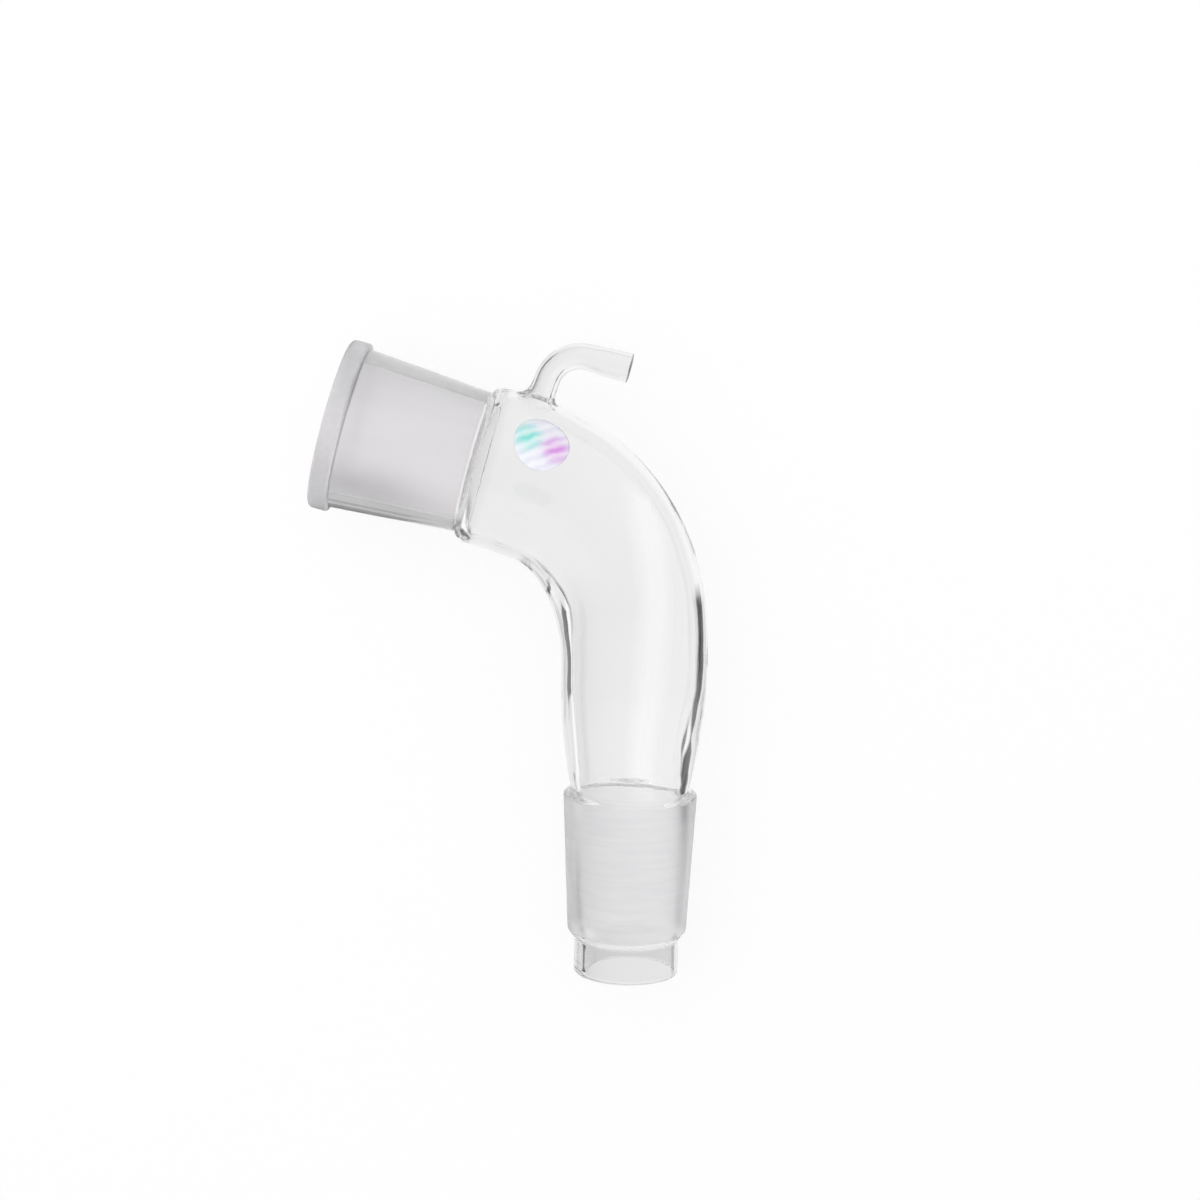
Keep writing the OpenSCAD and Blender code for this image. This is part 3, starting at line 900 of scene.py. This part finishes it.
# %% Floor
FLOOR_SIZE = 3.0
FLOOR_GLOW = 0.85   # share of plain white in what the camera sees of the floor
half = FLOOR_SIZE / 2 / MM
floor = mesh_object("floor", np.array([
    [-half, -half, 0], [half, -half, 0], [half, half, 0], [-half, half, 0]]),
    [(0, 1, 2, 3)], smooth=False)
table_white, tree, output = new_material("white_table")
matt = add_node(tree, "ShaderNodeBsdfDiffuse", {"Color": (0.9, 0.9, 0.9, 1)})
glow = add_node(tree, "ShaderNodeEmission", {"Color": (1, 1, 1, 1), "Strength": 1.0})
path = add_node(tree, "ShaderNodeLightPath")
seen_share = add_node(tree, "ShaderNodeMath", {"operation": "MULTIPLY", 1: FLOOR_GLOW},
                      {0: path.outputs["Is Camera Ray"]})
mix = add_node(tree, "ShaderNodeMixShader", None,
               {0: seen_share.outputs[0], 1: matt.outputs[0], 2: glow.outputs[0]})
tree.links.new(mix.outputs[0], output.inputs["Surface"])
floor.data.materials.append(table_white)
floor.visible_transmission = False
floor.visible_glossy = False
print("floor", FLOOR_SIZE, "m wide")

# %% [markdown]
# ## Black and white cards
#
# Clear glass on white has almost no outline. A studio gives it one with black cards just outside
# the field of view: a ray that grazes the bore is bent by about 40 degrees, and where it then
# meets a card, the wall shows a dark line. The cards lie under the table, 66 mm and more below
# the tube's axis, and their soft rims let the lines fade at their ends. A white strip under the
# barrel gives it a soft light band down its middle in the same way, and a white panel brightens
# the socket's lower edge. Their places were found by trial for this one view. Only rays that
# have passed through the glass or glanced off it see the cards.

# %% Cards under the table
CARD_DEPTH = -66.0      # upward from the tube's axis, so it lies below
PANEL_DEPTH = -70.0     # the white panel lies a little lower than the cards it overlaps
CARD_SOFT = 6.0         # width of a card's soft rim
CARD_BLACK = 0.07
CARD_WHITE = 1.05


def card_finish(name, level):
    """A card's own material: plain light of the given level, fading with the card's cover."""
    material, tree, output = new_material(name)
    cover = add_node(tree, "ShaderNodeAttribute", {"attribute_name": "cover"})
    clear = add_node(tree, "ShaderNodeBsdfTransparent")
    plain = add_node(tree, "ShaderNodeEmission", {"Color": (1, 1, 1, 1), "Strength": level})
    mix = add_node(tree, "ShaderNodeMixShader", None,
                   {0: cover.outputs["Fac"], 1: clear.outputs[0], 2: plain.outputs[0]})
    tree.links.new(mix.outputs[0], output.inputs["Surface"])
    return material


def card(name, finish, left, right, low, high, depth=CARD_DEPTH):
    """A rectangle with a soft rim, from its sides in the glass's frame: an inner and an outer
    rectangle, a rim's width apart, with an attribute that falls from 1 to 0 between them."""
    inner_corners = np.array([[left, low], [right, low], [right, high], [left, high]])
    outer_corners = inner_corners + CARD_SOFT * np.sign(inner_corners - inner_corners.mean(0))
    corners = np.concatenate([inner_corners, outer_corners])
    ids = np.arange(4)
    faces = np.concatenate([ids[None], ring_faces(ids, ids + 4)])
    xyz = laid(np.column_stack([corners, np.full(8, depth)]))
    piece = mesh_object(name, xyz, faces.tolist(), smooth=False)
    point_attribute(piece, "cover", np.repeat([1, 0], 4)[:, None] * np.ones(3))
    piece.data.materials.append(finish)
    for ray in ("camera", "diffuse", "shadow", "volume_scatter"):
        setattr(piece, "visible_" + ray, False)


matt_black = card_finish("matt_black_card", CARD_BLACK)
bright_white = card_finish("bright_white_card", CARD_WHITE)
card("card_right_of_barrel", matt_black, 50, 110, 14, 74)
card("card_left_of_barrel", matt_black, -95, -65, 34, 86)
card("card_right_of_tip", matt_black, 80, 120, -34, -6)
card("card_left_of_tip", matt_black, -120, -80, -34, -6)
card("card_behind_arm", matt_black, -114, -73, 124, 200)
card("strip_under_barrel", bright_white, 0, 4, 22, 96)
card("panel_under_socket", bright_white, -150, -97, 0, 80, PANEL_DEPTH)
print("cards", CARD_DEPTH, "mm below the tube's axis")

# %% [markdown]
# ## Light
#
# All round there is a plain, slightly grey studio, white to the camera. The glass sees the light
# table straight below: it is as grey as the studio on the left and brighter on the right, so the
# wall reads round. A lighter panel stands beyond the drip tip and lights the thick rims there.
# One large soft lamp overhead gives the shadow on the table.

# %% World
SIDE_LEVEL = 0.80
TIP_PANEL_LEVEL = 1.1
BELOW_LEFT_LEVEL = 0.80
BELOW_RIGHT_LEVEL = 0.98
ROOM_LEVEL = 0.75       # what matt things are lit with
TO_TABLE = (-0.06, -0.2, -0.98)     # nearly straight down
TO_TIP, TO_RIGHT = (0, -1, 0), (1, 0, 0)
world = bpy.data.worlds.new("studio")
bpy.context.scene.world = world
world.use_nodes = True
tree = world.node_tree
tree.nodes.clear()
output = add_node(tree, "ShaderNodeOutputWorld")
way = add_node(tree, "ShaderNodeTexCoord")


def panel_edge(toward, dark, light):
    """The soft edge of a panel of light: 0 where a direction's part along toward is below dark,
    and 1 where it is above light."""
    part = add_node(tree, "ShaderNodeVectorMath", {"operation": "DOT_PRODUCT", 1: unit(toward)},
                    {0: way.outputs["Generated"]})
    return add_node(tree, "ShaderNodeMapRange", {
        "interpolation_type": "SMOOTHSTEP", 1: dark, 2: light},
        {0: part.outputs["Value"]}).outputs[0]


sides = add_node(tree, "ShaderNodeMix", {2: SIDE_LEVEL, 3: TIP_PANEL_LEVEL},
                 {0: panel_edge(TO_TIP, 0.25, 0.6)})
table = add_node(tree, "ShaderNodeMix", {2: BELOW_LEFT_LEVEL, 3: BELOW_RIGHT_LEVEL},
                 {0: panel_edge(TO_RIGHT, -0.45, 0.1)})
level = add_node(tree, "ShaderNodeMix", None, {
    0: panel_edge(TO_TABLE, 0.4, 0.8), 2: sides.outputs[0], 3: table.outputs[0]})
path = add_node(tree, "ShaderNodeLightPath")
seen = add_node(tree, "ShaderNodeMath", {"operation": "MAXIMUM"},
                {0: path.outputs["Is Glossy Ray"], 1: path.outputs["Is Transmission Ray"]})
for_glass = add_node(tree, "ShaderNodeMix", {2: ROOM_LEVEL},
                     {0: seen.outputs[0], 3: level.outputs[0]})
strength = add_node(tree, "ShaderNodeMix", {3: 1.0},
                    {0: path.outputs["Is Camera Ray"], 2: for_glass.outputs[0]})
light = add_node(tree, "ShaderNodeBackground", {"Color": (1, 1, 1, 1)},
                 {"Strength": strength.outputs[0]})
tree.links.new(light.outputs[0], output.inputs["Surface"])
print("world levels: sides", SIDE_LEVEL, "below", BELOW_LEFT_LEVEL, "to", BELOW_RIGHT_LEVEL)

# %% Lamp
LAMP_AT = (-0.15, 0.25, 0.7)    # in metres of the row frame, aimed at its origin
LAMP_SIZE = 0.9
LAMP_WATTS = 3.0
lamp_data = bpy.data.lights.new("overhead_softbox", "AREA")
lamp_data.shape = "DISK"
lamp_data.size = LAMP_SIZE
lamp_data.energy = LAMP_WATTS
lamp = bpy.data.objects.new("overhead_softbox", lamp_data)
lamp.location = LAMP_AT
lamp.rotation_mode = "QUATERNION"
lamp.rotation_quaternion = lamp.location.to_track_quat("Z", "Y")
bpy.context.scene.collection.objects.link(lamp)
lamp.visible_glossy = False
lamp.visible_transmission = False
print("lamp", LAMP_WATTS, "W,", LAMP_SIZE, "m across")

# %% [markdown]
# ## Camera
#
# The camera stands high above the table, a little beyond the bend, and looks down on the glass
# with a longer lens, so that the socket and the cone keep their true widths. Its place and its
# target are given in the glass's own frame, and a small roll sets the cone upright.

# %% Camera
CAMERA_AT = (41.234, 230.2, 739.006)
CAMERA_TARGET = (-7.659, 82.917, 0.0)
CAMERA_ROLL = math.radians(1.432)
camera_data = bpy.data.cameras.new("camera")
camera_data.sensor_width = 36.0
camera_data.lens = 105.0
camera = bpy.data.objects.new("camera", camera_data)
bpy.context.scene.collection.objects.link(camera)
bpy.context.scene.camera = camera
ahead = unit(laid(CAMERA_TARGET) - laid(CAMERA_AT))
level_right = unit(np.cross(ahead, along))
level_up = np.cross(level_right, ahead)
right = math.cos(CAMERA_ROLL) * level_right + math.sin(CAMERA_ROLL) * level_up
up = -math.sin(CAMERA_ROLL) * level_right + math.cos(CAMERA_ROLL) * level_up
turn = Matrix(np.array([right, up, -ahead]).T.tolist()).to_4x4()
camera.matrix_world = Matrix.Translation(Vector(laid(CAMERA_AT) * MM)) @ turn
print("camera", np.round(laid(CAMERA_AT)).tolist(), "mm")

# %% [markdown]
# ## Last settings
#
# Light runs round inside the thick ring of a weld many times before it gets out. With the usual
# twelve bounces those places would turn black, so glass gets far more. Colours are shown as they
# are written, with the plain Standard view.

# %% Bounces and view
GLASS_BOUNCES = 128
GLOSS_BOUNCES = 64
bpy.context.scene.view_settings.view_transform = "Standard"
bpy.context.scene.cycles.max_bounces = GLASS_BOUNCES
bpy.context.scene.cycles.transmission_bounces = GLASS_BOUNCES
bpy.context.scene.cycles.glossy_bounces = GLOSS_BOUNCES
